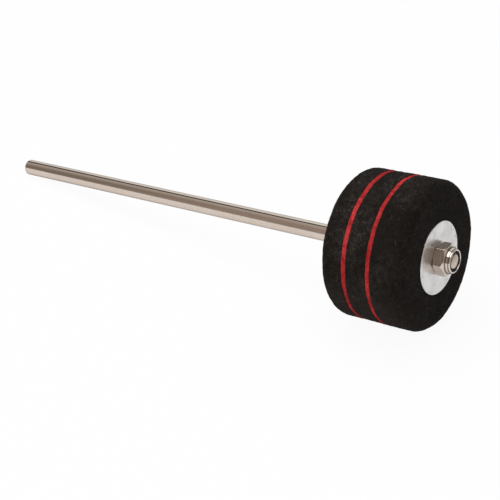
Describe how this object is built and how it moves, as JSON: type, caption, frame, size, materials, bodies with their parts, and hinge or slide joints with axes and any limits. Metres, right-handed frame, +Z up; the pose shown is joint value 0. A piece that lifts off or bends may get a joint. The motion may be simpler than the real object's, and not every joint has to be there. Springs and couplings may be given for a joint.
{
  "type": "bass drum beater",
  "caption": "Bass drum beater: a straight plated rod with a round laminated felt head clamped on its threaded end between washers by a lock nut.",
  "frame": {"origin": "on the floor that the beater lies on, under the middle of its length", "axes": "+X along the rod towards the head, +Z up; the rod rises towards the head by the angle at which the beater lies on its free end and on the head's rear rim"},
  "size_m": [0.2552, 0.0676, 0.0713],
  "materials": {
    "nickel": "polished nickel plate",
    "zinc": "satin zinc plate",
    "black_felt": "pressed wool felt",
    "red_felt": "pressed wool felt",
    "nylon": "moulded nylon"
  },
  "bodies": {
    "shaft": {"shaft": "nickel", "rear_nut": "nickel", "rear_washer": "zinc"},
    "head": {"back_felt": "black_felt", "rear_stripe": "red_felt", "middle_felt": "black_felt", "front_stripe": "red_felt", "front_felt": "black_felt"},
    "clamp_washer": {"front_washer": "zinc"},
    "lock_nut": {"lock_nut": "nickel", "lock_nut_insert": "nylon"}
  },
  "joints": [
    {"name": "head_turn", "type": "hinge", "parent": "shaft", "child": "head", "pos_m": [0.09867, 0, 0.03564], "axis": [0.9902, 0, 0.1394], "continuous": true},
    {"name": "washer_slide", "type": "slide", "parent": "shaft", "child": "clamp_washer", "axis": [0.9902, 0, 0.1394], "range_m": [0, 0.00635]},
    {"name": "nut_turn", "type": "hinge", "parent": "clamp_washer", "child": "lock_nut", "pos_m": [0.12243, 0, 0.03898], "axis": [0.9902, 0, 0.1394], "range_deg": [0, 1800]}
  ],
  "couplings": [
    {"joint": "washer_slide", "follows": "nut_turn", "m_per_rad": 0.00019894}
  ]
}
